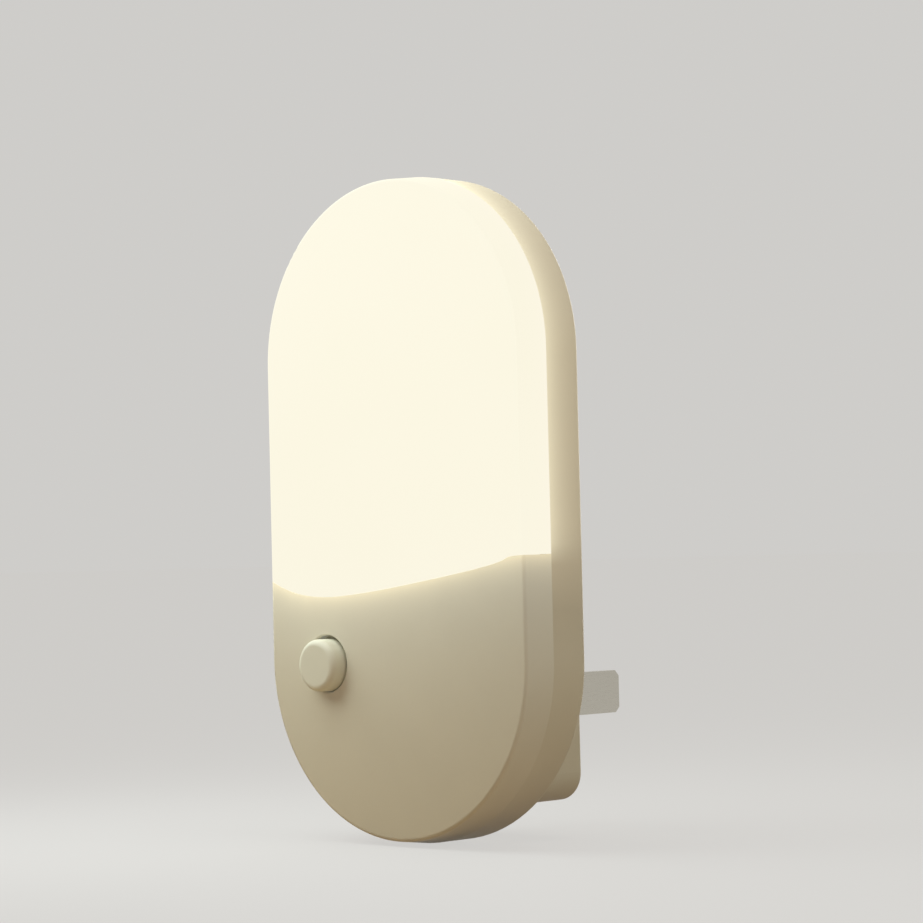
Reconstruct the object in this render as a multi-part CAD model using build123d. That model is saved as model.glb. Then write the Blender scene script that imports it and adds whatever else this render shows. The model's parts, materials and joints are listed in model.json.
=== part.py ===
from build123d import *
import math
import os

# A plug-in night light. Millimetres, +Z up, front faces -Y, blades point along +Y.
# The origin is the centre of the plug face, midway between the two blades.

# ------------------------------------------------------------------ outside form
body_w = 53.0            # stadium outline at the parting plane, width
body_h = 97.0            # the same outline, height
cover_depth = 5.0        # parting plane to front face
front_inset = 0.6        # draft of the cover, parting plane to front face, per side
front_edge_r = 0.55      # round on the front edge
housing_depth = 6.9      # parting plane to housing back
back_edge_r = 0.8        # round on the back edge
plug_up = 20.35          # plug centre above the bottom of the body
boss_w = 30.0            # plug boss, square outline
boss_corner_r = 4.2
boss_edge_r = 0.8        # round on the rim of the plug face
boss_depth = 11.6        # housing back to plug face

# ------------------------------------------------------------------ moulded walls
wall = 1.6               # rear housing wall and floor
cover_wall = 1.6         # front cover wall
boss_wall = 1.8
boss_floor = 2.2         # wall that the blades pass through
lap_t = 0.8              # outer skin left over a lap joint
lap_h = 2.0              # height of the diffuser tongue behind the panel
lip_h = 1.2              # housing lip inside the cover
seam = 0.05              # clearance in every seam

# ------------------------------------------------------------------ wave seam
wave_past = 3.0          # how far the seam line runs past the sides
wave_left_up = 40.6      # heights above the bottom of the body
wave_right_up = 41.6
wave_left_slope = -0.7
wave_knots = ((-18.5, 36.2), (-9.0, 36.25), (6.7, 38.2), (22.0, 40.95))  # x and height

# ------------------------------------------------------------------ snap hooks
hook_w = 5.0
hook_t = 0.9
hook_in = 1.9            # outer face of the hook, in from the body outline
hook_bite = 0.95         # how far the nose stands out of the hook
hook_pocket = 0.85       # skin left behind a pocket
hook_tip_gap = 1.4       # hook tip to housing floor
nose_h = 1.7
hook_diffuser_below = 8.35   # below the start of the top arc
hook_panel_above = 4.65      # above the end of the bottom arc

# ------------------------------------------------------------------ plug blades
blade_pitch = 12.7
blade_w = 6.4
blade_t = 1.5
blade_len = 18.0
blade_tip = 1.2          # chamfer at the tip
shoulder_w = 8.6
shoulder_t = 1.6
tail_w = 3.2
tail_len = 4.4           # beyond the shoulder
tail_hole_r = 0.7
retainer_w = 21.0
retainer_h = 23.0
retainer_t = 1.6
retainer_screw_pitch = 18.0
retainer_slip = 0.1

# ------------------------------------------------------------------ screws
screw_r = 0.8
screw_head_r = 1.6
screw_head_t = 1.1
screw_bite = 1.8         # length in the post
pilot_slip = 0.05
pilot_spare = 0.2
post_r = 2.1

# ------------------------------------------------------------------ boards
board_t = 1.0
board_standoff = 1.0
board_margin = 4.5       # board edge in from the body outline
board_gap = 5.0          # driver board to lamp board
led_cols = 2
led_rows = 4
led_side = 17.5          # outer lamp columns, in from the body outline
led_end = 7.0            # bottom row, up from the board's edge
led_head = 10.4          # top row, down from the board's edge
led_w = 2.8
led_h = 3.5
led_t = 0.75
led_lens_r = 1.1
led_lens_t = 0.15
driver_board_top = 14.0  # above the plug centre
driver_screw_in = 9.1    # in from the body outline
driver_screw_under = 10.35   # below the end of the bottom arc
screw_slip = 0.15
peg_r = 1.2
peg_in = 2.5             # pegs in from the boards' edges

# ------------------------------------------------------------------ button and switch
button_in = 12.3         # hole centre in from the left side of the body
button_up = 26.1         # hole centre above the bottom of the body
button_drop = 0.2        # the cap rests this much low in its hole
hole_r = 4.2
hole_edge_r = 0.25
cap_r = 3.85
cap_proud = 2.45         # cap face in front of the cover
cap_edge_r = 0.95
cap_wall = 0.9
cap_top = 1.2
flange_r = 4.9
flange_t = 0.6
flange_gap = 0.2         # flange behind the cover wall, and inside the guide ring
guide_t = 1.0
guide_h = 2.0
hub_r = 1.9
hub_back = 0.2           # hub end behind the flange
travel = 1.4
switch_w = 6.0
switch_h = 3.8
switch_wall = 0.5
plunger_r = 1.1
plunger_slip = 0.05
plunger_in_hub = 2.0
foot_r = 1.7
foot_t = 0.5
foot_slip = 0.2
spring_r = 1.3
spring_wire = 0.1
spring_turns = 3
spring_slip = 0.05
terminal_w = 1.6
terminal_t = 0.3
terminal_out = 1.0

# ------------------------------------------------------------------ board components
film_size = (10.0, 4.6, 8.5)
film_z = 6.2
can_r = 2.5
can_len = 9.0
can_z = -4.6
bridge_size = (4.7, 2.4, 3.9)
bridge_at = (2.0, 3.0)
fuse_r = 1.15
fuse_len = 6.0
fuse_at = (8.0, -4.5)
chip_size = (3.2, 0.6, 1.6)
chip_at = ((-3.0, -4.0), (-3.0, -8.0))
part_gap = 0.05          # round parts off the board

# ------------------------------------------------------------------ leads
lead_r = 0.6
lead_bend = 2.5
lead_pad_z = -8.5
link_r = 0.5
link_bend = 1.2
link_x = 3.0
link_lift = 2.2
link_low_z = 11.0
link_high_z = 22.0

# ------------------------------------------------------------------ derived planes
y_back = -boss_depth
y_part = y_back - housing_depth
y_front = y_part - cover_depth
y_floor = y_back - wall
y_inner = y_front + cover_wall
y_board_back = y_floor - board_standoff
y_board = y_board_back - board_t
y_shoulder = -boss_floor - shoulder_t
y_retainer = y_shoulder - retainer_t
z_bottom = -plug_up
z_top = z_bottom + body_h
z_mid = z_bottom + body_h / 2
draft = math.degrees(math.atan(front_inset / cover_depth))

z_arc_top = z_top - body_w / 2
z_arc_bottom = z_bottom + body_w / 2

led_board_bottom = driver_board_top + board_gap
led_board_top = z_top - board_margin
led_first_z = led_board_bottom + led_end
led_row_pitch = (led_board_top - led_head - led_first_z) / (led_rows - 1)
led_col_pitch = (body_w - 2 * led_side) / (led_cols - 1)
led_screw_z = (led_first_z + led_row_pitch / 2, led_first_z + (led_rows - 1.5) * led_row_pitch)
driver_screw_x = body_w / 2 - driver_screw_in
driver_screw_z = z_arc_bottom - driver_screw_under

button_x = button_in - body_w / 2
hole_z = z_bottom + button_up
cap_z = hole_z - button_drop
y_cap = y_front - cap_proud
y_flange = y_inner + flange_gap
y_flange_back = y_flange + flange_t
y_hub_back = y_flange_back + hub_back
y_switch = y_board - switch_h
y_chamber = y_switch + switch_wall
y_foot = y_chamber + part_gap


def at(y):
    """Sketch plane across the light at depth y; an extrusion goes towards the front."""
    return Plane.XZ.offset(-y)


def stadium(inset=0.0):
    """Body outline, moved in by inset."""
    slot = SlotOverall(body_h - 2 * inset, body_w - 2 * inset, rotation=90)
    return Pos(0, z_mid) * slot


def disc(x, z, r, y, depth):
    """Round bar from depth y towards the front."""
    return extrude(at(y) * Pos(x, z) * Circle(r), amount=depth)


def block(x, z, w, h, y, depth):
    """Box of width w and height h from depth y towards the front."""
    return extrude(at(y) * Pos(x, z) * Rectangle(w, h), amount=depth)


# ------------------------------------------------------------------ cover halves
def above_wave(drop=0.0):
    """Everything above the wave seam, the seam moved down by drop."""
    side = body_w / 2 + wave_past
    over = z_top + wave_past
    knots = [(x, z_bottom + up - drop) for x, up in wave_knots]
    left = (-side, z_bottom + wave_left_up - drop)
    right = (side, z_bottom + wave_right_up - drop)
    low = Spline(left, *knots, right, tangents=[(1, wave_left_slope), (1, 0)])
    rim = Polyline(low @ 1, (side, over), (-side, over), low @ 0)
    return extrude(at(0) * make_face(low + rim), amount=wave_past - y_front)


def cover_solid(inset):
    """Drafted front cover, moved in by inset from its outer faces."""
    block_ = extrude(at(y_part) * stadium(inset), amount=cover_depth - inset, taper=draft)
    if inset == 0:
        block_ = fillet(block_.faces().sort_by(Axis.Y)[0].edges(), front_edge_r)
    return block_


def cover_shell():
    """Whole front cover, open at the back, with the rebate for the housing lip."""
    shell = cover_solid(0) - cover_solid(cover_wall)
    return shell - extrude(at(y_part) * stadium(lap_t), amount=lip_h + seam)


def hook(outward):
    """Snap hook at the right of the outline, its outer reference face at x = 0."""
    tip = y_floor - hook_tip_gap
    root = y_inner - cover_wall / 2
    nose = tip - nose_h
    line = Polyline(
        (-hook_in - hook_t, root),
        (-hook_in - hook_t, tip),
        (-hook_in, tip),
        (-hook_in + hook_bite, nose + 0.4),
        (-hook_in + hook_bite, nose),
        (-hook_in, nose),
        (-hook_in, root),
        close=True,
    )
    bar = extrude(Plane.XY * make_face(line), amount=hook_w / 2, both=True)
    return outward * bar


def pocket(outward):
    """Recess in the housing wall that a hook's nose snaps into."""
    tip = y_floor - hook_tip_gap
    deep = wall + 0.2 - hook_pocket
    high = nose_h + 0.4
    box = Box(deep, high, hook_w + 0.5)
    return outward * Pos(-hook_pocket - deep / 2, tip - nose_h / 2, 0) * box


def hook_places():
    """Where the hooks stand: two and one on each half of the cover."""
    right = Pos(body_w / 2, 0, 0)
    left = Pos(-body_w / 2, 0, 0) * Rot(0, 180, 0)
    high = Pos(0, 0, z_arc_top - hook_diffuser_below)
    low = Pos(0, 0, z_arc_bottom + hook_panel_above)
    upper = [high * right, high * left, Pos(0, 0, z_top) * Rot(0, -90, 0)]
    lower = [low * right, low * left, Pos(0, 0, z_bottom) * Rot(0, 90, 0)]
    return upper, lower


def front_diffuser():
    """Opal upper half with its own side wall, and a tongue behind the panel."""
    shell = cover_shell()
    part = shell & above_wave()
    tongue = cover_solid(lap_t + seam) & shell & above_wave(lap_h)
    part = part + tongue
    for place in hook_places()[0]:
        part = part + hook(place)
    return part


def front_panel():
    """Plain lower half with the button hole, its guide ring and the rebate for the tongue."""
    part = cover_shell() - above_wave(seam)
    part = part - (cover_solid(lap_t) & above_wave(lap_h + seam))
    inner = flange_r + flange_gap
    ring = disc(button_x, cap_z, inner + guide_t, y_inner + guide_h, guide_h + cover_wall / 2)
    part = part + ring
    part = part - disc(button_x, cap_z, inner, y_inner + guide_h, guide_h)
    part = part - disc(button_x, hole_z, hole_r, y_part, cover_depth + 1)
    rims = part.edges().filter_by(GeomType.CIRCLE)
    rim = [e for e in rims if abs(e.radius - hole_r) < 1e-4 and abs(e.center().Y - y_front) < 1e-4]
    part = fillet(rim, hole_edge_r)
    for place in hook_places()[1]:
        part = part + hook(place)
    return part


# ------------------------------------------------------------------ rear housing
def screw_post(x, z):
    return disc(x, z, post_r, y_floor + wall / 2, board_standoff + wall / 2)


def pilot(x, z, y):
    """Blind hole for a screw, its mouth at depth y."""
    deep = screw_bite + pilot_spare
    return disc(x, z, screw_r + pilot_slip, y + deep, deep)


def board_posts():
    places = [(0, z) for z in led_screw_z]
    places += [(side * driver_screw_x, driver_screw_z) for side in (-1, 1)]
    return places


def rest_pegs():
    """Plain pegs that carry the boards away from their screws."""
    reach = body_w / 2 - board_margin - peg_in
    heights = (driver_board_top - peg_in, led_board_bottom + peg_in, z_arc_top)
    return [(side * reach, z) for side in (-1, 1) for z in heights]


def rear_housing():
    """Tub with the plug boss, the lip, board posts, blade slots and hook pockets."""
    tub = extrude(at(y_back) * stadium(), amount=housing_depth)
    tub = fillet(tub.faces().sort_by(Axis.Y)[-1].edges(), back_edge_r)
    boss = extrude(at(0) * RectangleRounded(boss_w, boss_w, boss_corner_r), amount=boss_depth + wall)
    boss = fillet(boss.faces().sort_by(Axis.Y)[-1].edges(), boss_edge_r)
    part = tub + boss
    part = part - extrude(at(y_floor) * stadium(wall), amount=housing_depth)
    hollow_w = boss_w - 2 * boss_wall
    hollow = RectangleRounded(hollow_w, hollow_w, boss_corner_r - boss_wall)
    part = part - extrude(at(-boss_floor) * hollow, amount=boss_depth + wall - boss_floor + 0.5)
    ring = stadium(lap_t + seam) - stadium(wall)
    part = part + extrude(at(y_part + 0.5) * ring, amount=lip_h + 0.5)
    for x, z in board_posts():
        part = part + screw_post(x, z)
    for x, z in rest_pegs():
        part = part + disc(x, z, peg_r, y_floor + wall / 2, board_standoff + wall / 2)
    for side in (-1, 1):
        z = side * retainer_screw_pitch / 2
        part = part + disc(0, z, post_r, -boss_floor / 2, boss_floor / 2 + shoulder_t)
    for x, z in board_posts():
        part = part - pilot(x, z, y_board_back)
    for side in (-1, 1):
        part = part - pilot(0, side * retainer_screw_pitch / 2, y_shoulder)
        slot = (blade_t + 2 * seam, blade_w + 2 * seam)
        part = part - block(side * blade_pitch / 2, 0, slot[0], slot[1], 1, boss_floor + 2)
    upper, lower = hook_places()
    for place in upper + lower:
        part = part - pocket(place)
    return part


# ------------------------------------------------------------------ plug
def blade(side):
    """Flat blade with a chamfered tip, a shoulder inside the boss and a solder tail."""
    line = Polyline(
        (blade_w / 2, -boss_floor),
        (blade_w / 2, blade_len - blade_tip),
        (blade_w / 2 - blade_tip, blade_len),
        (blade_tip - blade_w / 2, blade_len),
        (-blade_w / 2, blade_len - blade_tip),
        (-blade_w / 2, -boss_floor),
        (-shoulder_w / 2, -boss_floor),
        (-shoulder_w / 2, y_shoulder),
        (-tail_w / 2, y_shoulder),
        (-tail_w / 2, y_shoulder - tail_len),
        (tail_w / 2, y_shoulder - tail_len),
        (tail_w / 2, y_shoulder),
        (shoulder_w / 2, y_shoulder),
        (shoulder_w / 2, -boss_floor),
        close=True,
    )
    plane = Plane(origin=(side * blade_pitch / 2, 0, 0), x_dir=(0, 0, 1), z_dir=(-1, 0, 0))
    outline = make_face(line)
    outline = outline - Pos(0, y_shoulder - tail_len + 1.3) * Circle(tail_hole_r)
    flat = extrude(plane * outline, amount=blade_t / 2, both=True)
    tip_edges = flat.faces().sort_by(Axis.Y)[-1].edges().filter_by(Axis.Z)
    return chamfer(tip_edges, blade_t / 4)


def blade_retainer():
    """Plate that holds both shoulders down on the boss floor."""
    plate = RectangleRounded(retainer_w, retainer_h, 2.5)
    part = extrude(at(y_shoulder) * plate, amount=retainer_t)
    for side in (-1, 1):
        slot_w = blade_t + 2 * retainer_slip
        slot_h = tail_w + 2 * retainer_slip
        part = part - block(side * blade_pitch / 2, 0, slot_w, slot_h, y_shoulder, retainer_t)
        hole_z_ = side * retainer_screw_pitch / 2
        part = part - disc(0, hole_z_, screw_r + screw_slip, y_shoulder, retainer_t)
    return part


def screw(x, z, y_seat, y_mouth):
    """Pan head screw: head on the face at y_seat, thread into the post from y_mouth."""
    shank_len = y_mouth - y_seat + screw_bite
    shank = disc(x, z, screw_r, y_mouth + screw_bite, shank_len)
    head = disc(x, z, screw_head_r, y_seat, screw_head_t)
    head = chamfer(head.faces().sort_by(Axis.Y)[0].edges(), screw_head_t / 3)
    part = shank + head
    y_slot = y_seat - screw_head_t + 0.5
    part = part - block(x, z, 1.7, 0.4, y_slot, 1)
    part = part - block(x, z, 0.4, 1.7, y_slot, 1)
    return part


# ------------------------------------------------------------------ boards
def board(bottom, top):
    """Slice of the body outline, set in from the walls."""
    height = top - bottom
    cut = Pos(0, bottom + height / 2) * Rectangle(body_w, height)
    return extrude(at(y_board_back) * (stadium(board_margin) & cut), amount=board_t)


def led_board():
    part = board(led_board_bottom, led_board_top)
    for z in led_screw_z:
        part = part - disc(0, z, screw_r + screw_slip, y_board_back, board_t)
    return part


def led_places():
    places = []
    for row in range(led_rows):
        for col in range(led_cols):
            x = (col - (led_cols - 1) / 2) * led_col_pitch
            places.append((x, led_first_z + row * led_row_pitch))
    return places


def led(x, z):
    """Surface-mount lamp: a white package with a low round lens."""
    package = block(x, z, led_w, led_h, y_board, led_t)
    rim = package.faces().sort_by(Axis.Y)[0].edges()
    package = chamfer(rim, 0.12)
    return package + disc(x, z, led_lens_r, y_board - led_t, led_lens_t)


def driver_board():
    part = board(z_bottom, driver_board_top)
    for side in (-1, 1):
        x = side * driver_screw_x
        part = part - disc(x, driver_screw_z, screw_r + screw_slip, y_board_back, board_t)
    return part


# ------------------------------------------------------------------ components
def film_capacitor():
    w, t, h = film_size
    part = block(0, film_z, w, h, y_board_back + t, t)
    return fillet(part.edges().filter_by(Axis.Y), 0.6)


def electrolytic_capacitor():
    """Can lying along X behind the board, with its rolled groove near one end."""
    y = y_board_back + can_r + part_gap
    bar = extrude(Plane.YZ * Pos(y, can_z) * Circle(can_r), amount=can_len / 2, both=True)
    groove = Circle(can_r + 1) - Circle(can_r - 0.3)
    cut = extrude(Plane.YZ.offset(can_len / 2 - 1.6) * Pos(y, can_z) * groove, amount=0.6)
    bar = chamfer(bar.edges(), 0.3)
    return bar - cut


def bridge_rectifier():
    w, t, h = bridge_size
    x, z = bridge_at
    part = block(x, z, w, h, y_board, t)
    return chamfer(part.faces().sort_by(Axis.Y)[0].edges(), 0.3)


def fuse_resistor():
    """Axial body lying along X on the front of the board."""
    x, z = fuse_at
    y = y_board - fuse_r - part_gap
    plane = Plane.YZ.offset(x)
    bar = extrude(plane * Pos(y, z) * Circle(fuse_r), amount=fuse_len / 2, both=True)
    return chamfer(bar.edges(), 0.4)


def chip_resistor(place):
    w, t, h = chip_size
    return block(place[0], place[1], w, h, y_board, t)


# ------------------------------------------------------------------ leads
def wire(points, radius, bend):
    """Round lead along straight runs joined by tangent arcs."""
    path = FilletPolyline(*points, radius=bend)
    start = Plane(origin=path @ 0, z_dir=path % 0)
    return sweep(start * Circle(radius), path=path)


def mains_lead(side):
    """From beside a blade's tail to the back of the driver board."""
    x = side * (blade_pitch / 2 + blade_t / 2 + lead_r + part_gap)
    y = y_shoulder - tail_len + 1.3
    return wire([(x, y, 1.0), (x, y, lead_pad_z), (x, y_board_back, lead_pad_z)], lead_r, lead_bend)


def led_link(side):
    """Jumper from the front of the driver board to the front of the lamp board."""
    x = side * link_x
    y = y_board - link_lift
    low = [(x, y_board, link_low_z), (x, y, link_low_z)]
    high = [(x, y, link_high_z), (x, y_board, link_high_z)]
    return wire(low + high, link_r, link_bend)


# ------------------------------------------------------------------ button and switch
def button_cap():
    """Round cap with a retaining flange and a hub that grips the switch plunger."""
    x = button_x
    part = disc(x, cap_z, cap_r, y_flange_back, y_flange_back - y_cap)
    part = fillet(part.faces().sort_by(Axis.Y)[0].edges(), cap_edge_r)
    part = part + disc(x, cap_z, flange_r, y_flange_back, flange_t)
    part = part - disc(x, cap_z, cap_r - cap_wall, y_flange_back, y_flange_back - y_cap - cap_top)
    part = part + disc(x, cap_z, hub_r, y_hub_back, y_hub_back - y_cap - cap_top / 2)
    bore = disc(x, cap_z, plunger_r + seam, y_hub_back, plunger_in_hub)
    return part - bore


def switch_body():
    """Closed case with a chamber for the plunger's foot and its spring."""
    part = block(button_x, cap_z, switch_w, switch_w, y_board, switch_h)
    part = fillet(part.edges().filter_by(Axis.Y), 0.5)
    chamber = switch_h - 2 * switch_wall
    part = part - disc(button_x, cap_z, foot_r + foot_slip, y_board - switch_wall, chamber)
    return part - disc(button_x, cap_z, plunger_r + plunger_slip, y_board - switch_wall, switch_h)


def switch_plunger():
    """Stem with a foot that stays in the chamber."""
    tip = y_hub_back - plunger_in_hub + part_gap
    part = disc(button_x, cap_z, plunger_r, y_foot + foot_t, y_foot + foot_t - tip)
    part = chamfer(part.faces().sort_by(Axis.Y)[0].edges(), 0.2)
    return part + disc(button_x, cap_z, foot_r, y_foot + foot_t, foot_t)


def switch_spring():
    """Return spring between the foot and the bottom of the chamber."""
    y_top = y_foot + foot_t + spring_slip + spring_wire
    y_bottom = y_board - switch_wall - spring_slip - spring_wire
    height = y_bottom - y_top
    place = Pos(button_x, y_bottom, cap_z) * Rot(90, 0, 0)
    path = place * Helix(pitch=height / spring_turns, height=height, radius=spring_r)
    start = Plane(origin=path @ 0, z_dir=path % 0)
    return sweep(start * RegularPolygon(spring_wire, 6), path=path)


def switch_terminal(side):
    """Solder foot at the side of the switch."""
    x = button_x + side * (switch_w / 2 + terminal_out / 2)
    return block(x, cap_z, terminal_out, terminal_w, y_board, terminal_t)


# ------------------------------------------------------------------ the whole light
def nodes():
    half = retainer_screw_pitch / 2
    found = {
        "front_diffuser": front_diffuser(),
        "front_panel": front_panel(),
        "rear_housing": rear_housing(),
        "blade_left": blade(-1),
        "blade_right": blade(1),
        "blade_retainer": blade_retainer(),
        "retainer_screw_upper": screw(0, half, y_retainer, y_shoulder),
        "retainer_screw_lower": screw(0, -half, y_retainer, y_shoulder),
        "led_board": led_board(),
        "led_screw_lower": screw(0, led_screw_z[0], y_board, y_board_back),
        "led_screw_upper": screw(0, led_screw_z[1], y_board, y_board_back),
        "driver_board": driver_board(),
        "driver_screw_left": screw(-driver_screw_x, driver_screw_z, y_board, y_board_back),
        "driver_screw_right": screw(driver_screw_x, driver_screw_z, y_board, y_board_back),
        "film_capacitor": film_capacitor(),
        "electrolytic_capacitor": electrolytic_capacitor(),
        "bridge_rectifier": bridge_rectifier(),
        "fuse_resistor": fuse_resistor(),
        "chip_resistor_upper": chip_resistor(chip_at[0]),
        "chip_resistor_lower": chip_resistor(chip_at[1]),
        "mains_lead_left": mains_lead(-1),
        "mains_lead_right": mains_lead(1),
        "led_link_left": led_link(-1),
        "led_link_right": led_link(1),
        "button_cap": button_cap(),
        "switch_body": switch_body(),
        "switch_plunger": switch_plunger(),
        "switch_spring": switch_spring(),
        "switch_terminal_left": switch_terminal(-1),
        "switch_terminal_right": switch_terminal(1),
    }
    for number, (x, z) in enumerate(led_places(), start=1):
        found[f"led_{number}"] = led(x, z)
    return found


def main():
    os.makedirs("parts", exist_ok=True)
    for name, shape in nodes().items():
        export_step(shape, f"parts/{name}.step")


main()
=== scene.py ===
import json
import math

import bmesh
import bpy
from mathutils import Matrix, Vector


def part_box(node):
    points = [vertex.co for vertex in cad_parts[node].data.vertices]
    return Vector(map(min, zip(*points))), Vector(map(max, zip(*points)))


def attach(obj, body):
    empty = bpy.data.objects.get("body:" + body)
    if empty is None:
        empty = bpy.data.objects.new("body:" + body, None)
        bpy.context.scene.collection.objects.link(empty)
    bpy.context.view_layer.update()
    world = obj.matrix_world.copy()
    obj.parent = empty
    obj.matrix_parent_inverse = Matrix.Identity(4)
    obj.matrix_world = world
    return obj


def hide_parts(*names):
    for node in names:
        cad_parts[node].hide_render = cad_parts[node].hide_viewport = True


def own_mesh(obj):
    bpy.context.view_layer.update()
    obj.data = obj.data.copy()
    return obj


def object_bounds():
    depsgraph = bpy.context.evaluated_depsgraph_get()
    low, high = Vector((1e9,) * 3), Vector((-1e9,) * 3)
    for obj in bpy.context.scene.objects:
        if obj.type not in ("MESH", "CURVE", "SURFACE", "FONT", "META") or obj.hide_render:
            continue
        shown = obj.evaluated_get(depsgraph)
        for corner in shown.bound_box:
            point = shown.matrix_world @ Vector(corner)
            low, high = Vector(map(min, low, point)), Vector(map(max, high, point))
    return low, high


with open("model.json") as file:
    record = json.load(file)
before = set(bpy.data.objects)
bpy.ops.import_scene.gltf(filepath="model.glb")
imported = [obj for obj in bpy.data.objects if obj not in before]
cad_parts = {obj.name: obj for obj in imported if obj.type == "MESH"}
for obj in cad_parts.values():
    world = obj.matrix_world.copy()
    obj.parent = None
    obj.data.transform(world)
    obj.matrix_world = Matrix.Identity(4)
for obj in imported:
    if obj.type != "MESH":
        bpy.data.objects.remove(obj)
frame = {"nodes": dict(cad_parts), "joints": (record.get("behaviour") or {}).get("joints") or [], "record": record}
cad_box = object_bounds()
nodes = frame["nodes"]

MM = 0.001

# ---------------------------------------------------------------- sizes of the light
panel_low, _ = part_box("front_panel")
housing_low, housing_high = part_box("rear_housing")
cap_low, cap_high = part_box("button_cap")

# the light faces -Y: its cover runs back from FRONT_Y to the parting plane at PART_Y
COVER_DEPTH = 5.0 * MM
END_RADIUS = (housing_high.x - housing_low.x) / 2
FRONT_Y = panel_low.y
PART_Y = FRONT_Y + COVER_DEPTH
BOTTOM_Z = housing_low.z
MIDDLE = Vector((0.0, PART_Y, (housing_low.z + housing_high.z) / 2))
# x and height of the wavy seam above the bottom of the light, in millimetres
SEAM = (
    (-26.5, 38.6),
    (-21.7, 36.85),
    (-18.5, 36.2),
    (-12.0, 36.05),
    (-5.7, 36.55),
    (0.6, 37.35),
    (6.7, 38.2),
    (12.7, 39.3),
    (18.5, 40.4),
    (26.5, 41.5),
)
# heights between which the seam's colour ramp runs
SEAM_LOW = 35.0
SEAM_HIGH = 42.0


# ---------------------------------------------------------------- shader maths
class Wire:
    """A node's output that Python's own signs work on."""

    def __init__(self, wiring, socket):
        self.wiring = wiring
        self.socket = socket

    def maths(self, operation, *values):
        """A Math node on these values."""
        return self.wiring.node("ShaderNodeMath", {"operation": operation}, dict(enumerate(values)))

    def __add__(self, other):
        return self.maths("ADD", self, other)

    __radd__ = __add__

    def __mul__(self, other):
        return self.maths("MULTIPLY", self, other)

    __rmul__ = __mul__

    def __sub__(self, other):
        return self.maths("SUBTRACT", self, other)

    def __rsub__(self, other):
        return self.maths("SUBTRACT", other, self)

    def __truediv__(self, other):
        return self.maths("DIVIDE", self, other)

    def __pow__(self, other):
        return self.maths("POWER", self, other)

    def over(self, floor):
        """No lower than the floor."""
        return self.maths("MAXIMUM", self, floor)

    def under(self, ceiling):
        """No higher than the ceiling."""
        return self.maths("MINIMUM", self, ceiling)

    def clear(self):
        """Held between 0 and 1."""
        return self.over(0.0).under(1.0)

    def beyond(self, edge):
        """1 where the value passes the edge, 0 elsewhere."""
        return self.maths("GREATER_THAN", self, edge)

    def fade(self, length):
        """1 at a distance of 0, falling off exponentially over that length."""
        return self.maths("EXPONENT", self * (-1.0 / length))


class Wiring:
    """A node tree, and the one method that adds nodes to it."""

    def __init__(self, tree):
        self.tree = tree
        self.tree.nodes.clear()

    def fill(self, socket, value):
        """Links a wire to the socket, or sets a plain value on it."""
        if isinstance(value, Wire):
            self.tree.links.new(value.socket, socket)
        else:
            socket.default_value = value

    def node(self, kind, settings=None, sockets=None, output=0):
        """Adds a node: first its settings, then its sockets by place or by name."""
        made = self.tree.nodes.new(kind)
        for key, value in (settings or {}).items():
            if key == "stops":
                lay_stops(made.color_ramp, value)
            else:
                setattr(made, key, value)
        for key, value in (sockets or {}).items():
            self.fill(made.inputs[key], value)
        return Wire(self, made.outputs[output]) if made.outputs else None


def lay_stops(ramp, stops):
    """Sets a colour ramp's stops, each a place of 0 to 1 and a colour."""
    while len(ramp.elements) < len(stops):
        ramp.elements.new(1.0)
    for element, (place, shade) in zip(ramp.elements, stops):
        element.position = place
        element.color = shade


# places of the Mix node's sockets when it mixes colours
MIX_FACTOR = 0
MIX_FIRST = 6
MIX_SECOND = 7
MIX_RESULT = 2


class Finish(Wiring):
    """One material, made round a Principled shader."""

    def __init__(self, name):
        self.material = bpy.data.materials.new(name)
        self.material.use_nodes = True
        super().__init__(self.material.node_tree)
        surface = self.node("ShaderNodeBsdfPrincipled")
        self.shader = surface.socket.node
        self.node("ShaderNodeOutputMaterial", None, {"Surface": surface})

    def set(self, **named):
        """The shader's own sockets, by name."""
        for key, value in named.items():
            self.fill(self.shader.inputs[key.replace("_", " ")], value)
        return self

    def place(self):
        """A point in the object's own coordinates."""
        return self.node("ShaderNodeTexCoord", output="Object")

    def axes(self):
        """The point's x, y and z, in metres."""
        place = self.place()
        return [self.node("ShaderNodeSeparateXYZ", None, {0: place}, axis) for axis in "XYZ"]

    def noise(self, scale, detail=2.0, roughness=0.5, at=None):
        """Noise of 0 to 1 over the object's own coordinates, or over those given."""
        sockets = {"Vector": at or self.place(), "Scale": scale, "Detail": detail, "Roughness": roughness}
        return self.node("ShaderNodeTexNoise", None, sockets)

    def mix(self, factor, first, second, blend="MIX"):
        """A colour between first and second."""
        settings = {"data_type": "RGBA", "blend_type": blend}
        sockets = {MIX_FACTOR: factor, MIX_FIRST: first, MIX_SECOND: second}
        return self.node("ShaderNodeMix", settings, sockets, MIX_RESULT)

    def sum(self, first, second):
        """Two colours added."""
        return self.mix(1.0, first, second, "ADD")

    def varied(self, mottle, shade, darkest, lightest):
        """The colour, varied by the mottle between two shares of itself."""
        return self.mix(mottle, times(shade, darkest), times(shade, lightest))

    def rough(self, noise, middle, spread):
        """A roughness that swings by the spread about its middle as the noise goes from 0 to 1."""
        return self.set(Roughness=(middle - spread / 2) + spread * noise)

    def bump(self, height, distance, strength):
        """A surface raised by the height, for the shader's Normal."""
        sockets = {"Strength": strength, "Distance": distance, "Height": height}
        return self.node("ShaderNodeBump", None, sockets)


DISPLAY_WHITE = 255


def linear(value):
    """Linear share of light from a display value of 0 to 255, by the sRGB curve."""
    share = value / DISPLAY_WHITE
    if share <= 0.04045:
        return share / 12.92
    return ((share + 0.055) / 1.055) ** 2.4


def colour(red, green, blue):
    """Linear colour from display values of 0 to 255."""
    return (linear(red), linear(green), linear(blue), 1.0)


def times(shade, factor):
    """The colour lighter or darker, and no lighter than white."""
    return (*[min(1.0, share * factor) for share in shade[:3]], 1.0)


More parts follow.
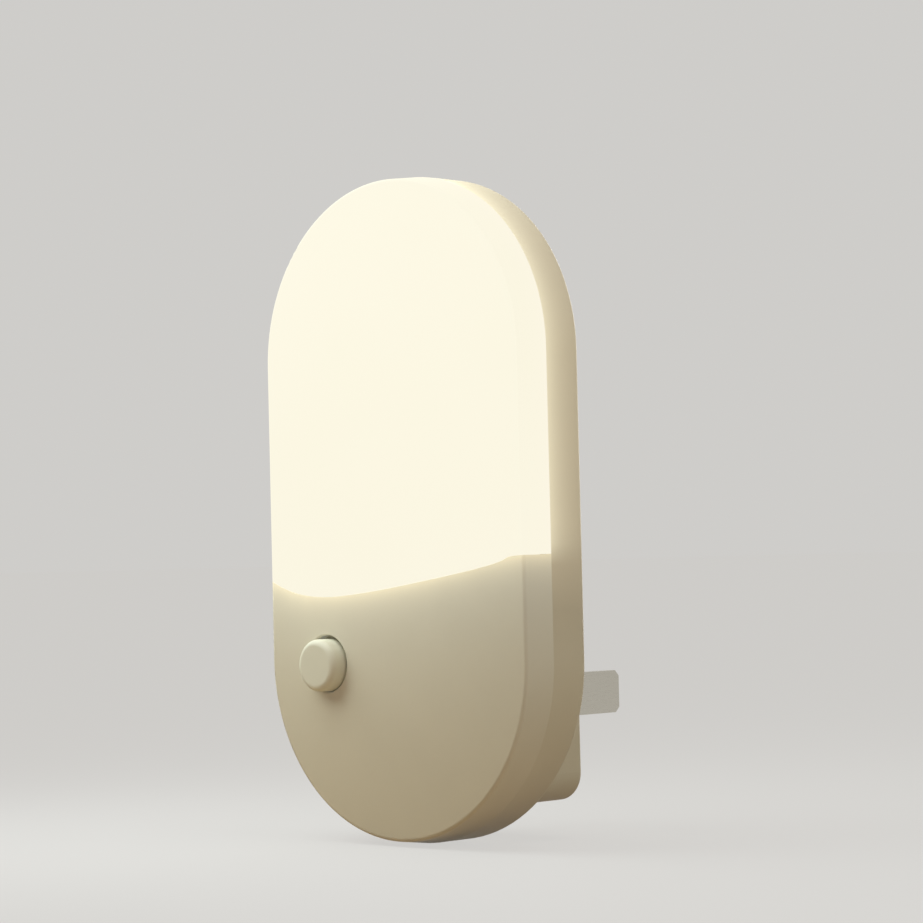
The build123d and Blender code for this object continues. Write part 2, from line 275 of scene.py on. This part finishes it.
# ---------------------------------------------------------------- finishes
BLACK = (0.0, 0.0, 0.0, 1.0)
WARM_WHITE = colour(199, 190, 166)
CAP_WHITE = times(colour(199, 196, 178), 1.18)

# the opal half is seen by the lamp's light, so its own shade is dark
OPAL_SHADE = colour(24, 23, 21)

# the lamp's light in the opal half: clouds over the front, and the side wall
LIT_DIM = colour(251, 246, 225)
LIT_BRIGHT = colour(253, 248, 229)
LIT_WALL = colour(253, 247, 228)
LIT_STRENGTH = 0.98
# the wall's white comes in by this power of the way back to the parting plane
WALL_POWER = 3.0

# the lamp's light painted as glow and haze on the plastic beside it, partly light that the thin plastic lets
# through
SEAM_PAINTED_GLOW = times(colour(255, 233, 180), 0.34)
PANEL_PAINTED_HAZE = colour(98, 105, 104)
WALL_PAINTED_GLOW = colour(139, 139, 121)
WALL_PAINTED_HAZE = colour(122, 112, 94)

# lengths over which the painted glow fades: below the seam, behind the parting plane, and in its wide haze
SEAM_FADE = 1.7 * MM
WALL_FADE = 2.6 * MM
HAZE_FADE = 12.0 * MM

# where the painted glow stops on the housing: below the seam, in from the side wall over the back,
# and inside the cover
WALL_STOP = 3.0 * MM
HAZE_STOP = 12.0 * MM
HAZE_AT_SEAM = 0.65
SIDE_FROM = 0.88 * END_RADIUS
SIDE_BLEND = 0.1 * END_RADIUS
INSIDE_BLEND = 0.2 * MM

# slow changes over a surface, as scales of noise: waves a metre
CLOUD = 28.0
MOTTLE = 90.0
OPAL_PATCHES = 240.0
GLOSS_PATCHES = 260.0
TRACKS = 320.0
FINE_MOTTLE = 400.0

# grain: waves a metre, depth in metres, and how hard it is pressed
OPAL_GRAIN = 3000.0
OPAL_DEPTH = 0.008 * MM
OPAL_PRESS = 0.2
SPARK_GRAIN = 5200.0
SPARK_DEPTH = 0.012 * MM
SPARK_PRESS = 0.35
STREAKS = 5200.0
STREAK_DEPTH = 0.003 * MM
STREAK_PRESS = 0.12
TRACK_DEPTH = 0.02 * MM
TRACK_PRESS = 0.5
# the streaks are drawn out along Y, and a track lies where the noise passes this level
STREAK_STRETCH = (1.0, 0.06, 1.0)
TRACK_EDGE = 0.56

# how strongly each surface mirrors, where 0.5 is common plastic
MOULDED_GLOSS = 0.32
CAP_GLOSS = 0.2
OPAL_GLOSS = 0.05
FLOOR_GLOSS = 0.0
# how strongly the moulded plastic bends light
MOULDED_IOR = 1.46


def seam_height(finish, x):
    """Height of the wavy seam over x, in metres, from a ramp that runs from SEAM_LOW to SEAM_HIGH."""
    left, right = SEAM[0][0], SEAM[-1][0]
    width, rise = right - left, SEAM_HIGH - SEAM_LOW
    stops = []
    for at, up in SEAM:
        grey = (up - SEAM_LOW) / rise
        stops.append(((at - left) / width, (grey, grey, grey, 1.0)))
    share = (x - left * MM) / (width * MM)
    ramp = finish.node("ShaderNodeValToRGB", {"stops": stops}, {0: share})
    return (BOTTOM_Z + SEAM_LOW * MM) + (rise * MM) * ramp


def moulded(name, shade):
    """Fine matt moulded plastic with a spark-eroded surface."""
    finish = Finish(name)
    mottle = finish.noise(MOTTLE, detail=3.0, roughness=0.55)
    finish.set(Base_Color=finish.varied(mottle, shade, darkest=0.965, lightest=1.03))
    finish.rough(finish.noise(GLOSS_PATCHES), middle=0.56, spread=0.12)
    finish.set(IOR=MOULDED_IOR, Specular_IOR_Level=MOULDED_GLOSS)
    return finish.set(Normal=finish.bump(finish.noise(SPARK_GRAIN), SPARK_DEPTH, SPARK_PRESS))


def panel_plastic_with_painted_glow():
    """Painted glow on the panel below the seam, a thin glow and a wide haze: the lamp's light spilling over it,
    partly light that the thin plastic lets through.
    """
    finish = moulded("cover_plastic", WARM_WHITE)
    x, _, z = finish.axes()
    below = (seam_height(finish, x) - z).over(0.0)
    near = finish.mix(below.fade(SEAM_FADE), BLACK, SEAM_PAINTED_GLOW)
    far = finish.mix(below.fade(HAZE_FADE), BLACK, PANEL_PAINTED_HAZE)
    return finish.set(Emission_Color=finish.sum(near, far), Emission_Strength=1.0)


def housing_plastic():
    """Painted glow of the lamp's light on the housing's side beside the diffuser, partly light that the thin
    plastic lets through. Its back and inside get none.
    """
    finish = moulded("housing_plastic", WARM_WHITE)
    x, y, z = finish.axes()
    rise = z - seam_height(finish, x)
    beside = (0.5 + rise / WALL_STOP).clear()
    around = (HAZE_AT_SEAM + rise / HAZE_STOP).clear()
    off_axis = z - z.over(housing_low.z + END_RADIUS).under(housing_high.z - END_RADIUS)
    reach = (x * x + off_axis * off_axis) ** 0.5
    side = ((reach - SIDE_FROM) / SIDE_BLEND).clear()
    inside = ((PART_Y - y) / INSIDE_BLEND).clear()
    behind = (y - PART_Y).over(0.0)
    near = (behind.fade(WALL_FADE) * beside * side - inside).clear()
    far = (behind.fade(HAZE_FADE) * around * side - inside).clear()
    glow = finish.sum(finish.mix(near, BLACK, WALL_PAINTED_GLOW), finish.mix(far, BLACK, WALL_PAINTED_HAZE))
    return finish.set(Emission_Color=glow, Emission_Strength=1.0)


def opal_diffuser():
    """Opal plastic, lit from inside: an even warm white over its front and side wall."""
    finish = Finish("opal_diffuser")
    _, y, _ = finish.axes()
    wall = ((y - FRONT_Y) / COVER_DEPTH).clear()
    front = finish.mix(finish.noise(CLOUD), LIT_DIM, LIT_BRIGHT)
    lit = finish.mix(wall ** WALL_POWER, front, LIT_WALL)
    finish.set(Emission_Color=lit, Emission_Strength=LIT_STRENGTH)
    finish.set(Base_Color=OPAL_SHADE, Specular_IOR_Level=OPAL_GLOSS)
    finish.rough(finish.noise(OPAL_PATCHES), middle=0.50, spread=0.08)
    return finish.set(Normal=finish.bump(finish.noise(OPAL_GRAIN), OPAL_DEPTH, OPAL_PRESS))


def plain_plastic(name, shade, rough=0.45):
    """Plastic, lacquer or insulation of the small parts."""
    finish = Finish(name)
    mottle = finish.noise(FINE_MOTTLE)
    finish.set(Base_Color=finish.varied(mottle, shade, darkest=0.93, lightest=1.05))
    return finish.rough(mottle, middle=rough, spread=0.12)


def metal(name, shade, rough):
    """Rolled metal with fine streaks along Y."""
    finish = Finish(name)
    stretch = {"Vector": finish.place(), "Scale": STREAK_STRETCH}
    stretched = finish.node("ShaderNodeMapping", {"vector_type": "POINT"}, stretch)
    streak = finish.noise(STREAKS, detail=3.0, at=stretched)
    finish.set(Base_Color=finish.varied(streak, shade, darkest=0.95, lightest=1.03), Metallic=1.0)
    finish.rough(streak, middle=rough, spread=0.10)
    return finish.set(Normal=finish.bump(streak, STREAK_DEPTH, STREAK_PRESS))


def board(name, mask, trace):
    """Circuit board under a solder mask, with tracks a shade lighter."""
    finish = Finish(name)
    lines = finish.noise(TRACKS, detail=1.0).beyond(TRACK_EDGE)
    finish.set(Base_Color=finish.mix(lines, mask, trace), Roughness=0.32, Coat_Weight=0.3)
    return finish.set(Normal=finish.bump(lines, TRACK_DEPTH, TRACK_PRESS))


FINISHES = {
    "opal_diffuser": opal_diffuser(),
    "cover_plastic": panel_plastic_with_painted_glow(),
    "housing_plastic": housing_plastic(),
    "button_plastic": moulded("button_plastic", CAP_WHITE).set(Specular_IOR_Level=CAP_GLOSS),
    "blade_metal": metal("blade_metal", colour(205, 201, 190), 0.28),
    "inner_plastic": plain_plastic("inner_plastic", colour(222, 221, 214)),
    "screw_steel": metal("screw_steel", colour(190, 190, 192), 0.34),
    "white_board": board("white_board", colour(238, 238, 233), colour(228, 228, 222)),
    "green_board": board("green_board", colour(30, 92, 48), colour(44, 116, 62)),
    "film_case": plain_plastic("film_case", colour(150, 62, 38), 0.3),
    "can_sleeve": plain_plastic("can_sleeve", colour(38, 38, 42), 0.3),
    "black_epoxy": plain_plastic("black_epoxy", colour(34, 34, 35), 0.55),
    "resistor_coat": plain_plastic("resistor_coat", colour(96, 132, 126), 0.4),
    "chip_ceramic": plain_plastic("chip_ceramic", colour(44, 44, 47), 0.4),
    "lead_blue": plain_plastic("lead_blue", colour(52, 84, 150), 0.4),
    "lead_brown": plain_plastic("lead_brown", colour(104, 70, 48), 0.4),
    "lead_white": plain_plastic("lead_white", colour(224, 224, 219), 0.4),
    "switch_case": plain_plastic("switch_case", colour(42, 42, 45), 0.35),
    "spring_steel": metal("spring_steel", colour(176, 176, 178), 0.3),
    "terminal_metal": metal("terminal_metal", colour(200, 197, 188), 0.3),
    "led_package": plain_plastic("led_package", colour(240, 222, 160), 0.35),
}

# every piece wears the finish that its slot names
for row in frame["record"]["subparts"]:
    mesh = nodes[row["node"]].data
    mesh.materials.clear()
    mesh.materials.append(FINISHES[row["material_slot"]].material)


# ---------------------------------------------------------------- return spring
SPRING_TURNS = 3
SPRING_WIRE = 0.1 * MM
STEPS_A_TURN = 24
WIRE_SIDES = 10


def put_in_scene(name, shape, material):
    """Makes a mesh object of the finished shape, with its place in its mesh."""
    mesh = bpy.data.meshes.new(name)
    shape.to_mesh(mesh)
    shape.free()
    mesh.materials.append(material)
    obj = bpy.data.objects.new(name, mesh)
    bpy.context.scene.collection.objects.link(obj)
    return obj


def round_coil(middle, radius, first_y, last_y):
    """Round wire of radius SPRING_WIRE, wound about Y by one spin, with flat ends."""
    steps = SPRING_TURNS * STEPS_A_TURN
    coil = bmesh.new()
    start = Matrix.Translation((middle.x + radius, first_y, middle.z))
    bmesh.ops.create_circle(coil, cap_ends=True, segments=WIRE_SIDES, radius=SPRING_WIRE, matrix=start)
    bmesh.ops.spin(
        coil,
        geom=coil.verts[:] + coil.edges[:] + coil.faces[:],
        cent=middle,
        axis=(0, 1, 0),
        dvec=(0, (last_y - first_y) / steps, 0),
        angle=-2 * math.pi * SPRING_TURNS,
        steps=steps,
    )
    bmesh.ops.recalc_face_normals(coil, faces=coil.faces)
    for face in coil.faces:
        face.smooth = len(face.verts) < WIRE_SIDES
    return coil


def make_return_spring():
    """The switch's spring, riding on the case; how far it would shorten by the button's travel is worked out but
    not applied.
    """
    low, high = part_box("switch_spring")
    middle = (cap_low + cap_high) / 2
    radius = high.x - middle.x - SPRING_WIRE
    coil = round_coil(middle, radius, high.y - SPRING_WIRE, low.y + SPRING_WIRE)
    obj = put_in_scene("return_spring", coil, FINISHES["spring_steel"].material)
    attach(obj, "case")
    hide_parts("switch_spring")
    press = next(joint for joint in frame["joints"] if joint["name"] == "button_press")
    shortened = 1 - max(press["range_m"]) / (high.y - low.y)
    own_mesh(obj)


make_return_spring()


# ---------------------------------------------------------------- floor
# the backdrop's colour
PALE = (0.62, 0.61, 0.59, 1.0)
# as it is seen, the floor has a dark shade that keeps the shadow and a glow that makes it pale
FLOOR_SHADE = (0.11, 0.108, 0.105, 1.0)
FLOOR_GLOW = times(PALE, 0.955)
# the warm colour that it throws back on the night light
FLOOR_BOUNCE = (0.42, 0.30, 0.18, 1.0)
FLOOR_RADIUS = 12.0
FLOOR_SIDES = 96
FLOOR_GAP = 0.2 * MM


def seen_ray(wiring):
    """1 for the rays that show the background: from the camera, off gloss or through glass."""
    rays = ("Is Camera Ray", "Is Glossy Ray", "Is Transmission Ray")
    camera, gloss, glass = (wiring.node("ShaderNodeLightPath", output=ray) for ray in rays)
    return camera.over(gloss).over(glass)


def floor_paint():
    """Matt pale paint that keeps the shadow and stays pale far from the lamps."""
    finish = Finish("floor_paint")
    seen = seen_ray(finish)
    finish.set(Base_Color=finish.mix(seen, FLOOR_BOUNCE, FLOOR_SHADE), Roughness=0.9)
    finish.set(Emission_Color=finish.mix(seen, BLACK, FLOOR_GLOW), Emission_Strength=1.0)
    return finish.set(Specular_IOR_Level=FLOOR_GLOSS)


def make_floor():
    """A wide round floor just below the night light."""
    floor = bmesh.new()
    bmesh.ops.create_circle(floor, cap_ends=True, segments=FLOOR_SIDES, radius=FLOOR_RADIUS)
    bmesh.ops.translate(floor, verts=floor.verts, vec=(0, 0, cad_box[0].z - FLOOR_GAP))
    put_in_scene("floor", floor, floor_paint().material)


make_floor()


# ---------------------------------------------------------------- studio light
SKY_COLOUR = (1.0, 0.85, 0.70, 1.0)
SKY_STRENGTH = 0.155
SOFTBOXES = (
    # name, azimuth and elevation in degrees, distance and width in metres, watts, colour
    ("key", -56, 48, 0.10, 0.15, 0.243, (0.91, 1.0, 0.99)),
    ("front", 45, 20, 0.30, 0.24, 0.055, (1.0, 0.67, 0.62)),
    ("side", 92, 12, 0.32, 0.20, 0.243, (0.90, 1.0, 0.99)),
    ("top", 100, 68, 0.28, 0.16, 0.19, (1.0, 0.96, 0.96)),
)
# name, azimuth, elevation and spread in degrees, watts a square metre, colour
SKYLIGHT = ("back", 200, 6, 35, 1.9, (1.0, 0.98, 0.93))


def make_world():
    """A soft warm sky that lights the object, and the pale backdrop that is seen in its place."""
    world = bpy.data.worlds.new("studio")
    bpy.context.scene.world = world
    world.use_nodes = True
    sky = Wiring(world.node_tree)
    soft = sky.node("ShaderNodeBackground", None, {"Color": SKY_COLOUR, "Strength": SKY_STRENGTH})
    shown = sky.node("ShaderNodeBackground", None, {"Color": PALE, "Strength": 1.0})
    both = sky.node("ShaderNodeMixShader", None, {0: seen_ray(sky), 1: soft, 2: shown})
    sky.node("ShaderNodeOutputWorld", None, {"Surface": both})


def outward(azimuth, elevation):
    """Direction out from the night light: azimuth 0 is straight in front, 90 is towards +X."""
    a, e = math.radians(azimuth), math.radians(elevation)
    return Vector((math.sin(a) * math.cos(e), -math.cos(a) * math.cos(e), math.sin(e)))


def aim_lamp(lamp, azimuth, elevation, distance, power, shade):
    """Stands the lamp in that direction and turns it to the middle of the night light."""
    lamp.energy = power
    lamp.color = shade
    away = outward(azimuth, elevation)
    obj = bpy.data.objects.new(lamp.name, lamp)
    obj.location = MIDDLE + distance * away
    obj.rotation_euler = (-away).to_track_quat("-Z", "Y").to_euler()
    obj.visible_camera = False
    bpy.context.scene.collection.objects.link(obj)


def softbox(name, azimuth, elevation, distance, width, power, shade):
    """Round soft lamp near the night light."""
    lamp = bpy.data.lights.new(name, "AREA")
    lamp.shape = "DISK"
    lamp.size = width
    aim_lamp(lamp, azimuth, elevation, distance, power, shade)


def skylight(name, azimuth, elevation, spread, strength, shade):
    """Soft light from far away, wherever the lamp itself stands."""
    lamp = bpy.data.lights.new(name, "SUN")
    lamp.angle = math.radians(spread)
    aim_lamp(lamp, azimuth, elevation, distance=1.0, power=strength, shade=shade)


make_world()
for box in SOFTBOXES:
    softbox(*box)
skylight(*SKYLIGHT)


# ---------------------------------------------------------------- camera
VIEW_AZIMUTH = 44.7
VIEW_ELEVATION = -1.2
VIEW_ROLL = -1.35
VIEW_DISTANCE = 430.6 * MM
VIEW_FOCAL_PX = 2950.7
FRAME_PX = 923
# the point that the camera is placed by, and where it shows, across and down the frame
AIM_UP = 51.1 * MM
AIM = Vector((0.0, PART_Y, BOTTOM_Z + AIM_UP))
AIM_PX = (414.8, 491.5)
FILM_WIDTH = 36.0
NEAR_LIMIT = 0.01
FAR_LIMIT = 50.0


def make_camera():
    """Camera on the viewing line, turned so that the night light sits left of and below the middle."""
    a, r = math.radians(VIEW_AZIMUTH), math.radians(VIEW_ROLL)
    ahead = -outward(VIEW_AZIMUTH, VIEW_ELEVATION)
    right = Vector((math.cos(a), math.sin(a), 0.0))
    up = right.cross(ahead)
    rolled_right = math.cos(r) * right + math.sin(r) * up
    rolled_up = -math.sin(r) * right + math.cos(r) * up
    basis = Matrix((rolled_right, rolled_up, -ahead)).transposed()
    half = FRAME_PX / 2
    seen = Vector(((AIM_PX[0] - half) / VIEW_FOCAL_PX, -(AIM_PX[1] - half) / VIEW_FOCAL_PX, -1.0))
    turn = Vector((0.0, 0.0, -1.0)).rotation_difference(seen.normalized()).to_matrix()
    lens = bpy.data.cameras.new("camera")
    lens.sensor_width = FILM_WIDTH
    lens.lens = VIEW_FOCAL_PX / FRAME_PX * FILM_WIDTH
    lens.clip_start = NEAR_LIMIT
    lens.clip_end = FAR_LIMIT
    obj = bpy.data.objects.new("camera", lens)
    obj.matrix_world = Matrix.Translation(AIM - VIEW_DISTANCE * ahead) @ (basis @ turn.inverted()).to_4x4()
    bpy.context.scene.collection.objects.link(obj)
    bpy.context.scene.camera = obj


make_camera()
bpy.context.scene.view_settings.view_transform = "Standard"
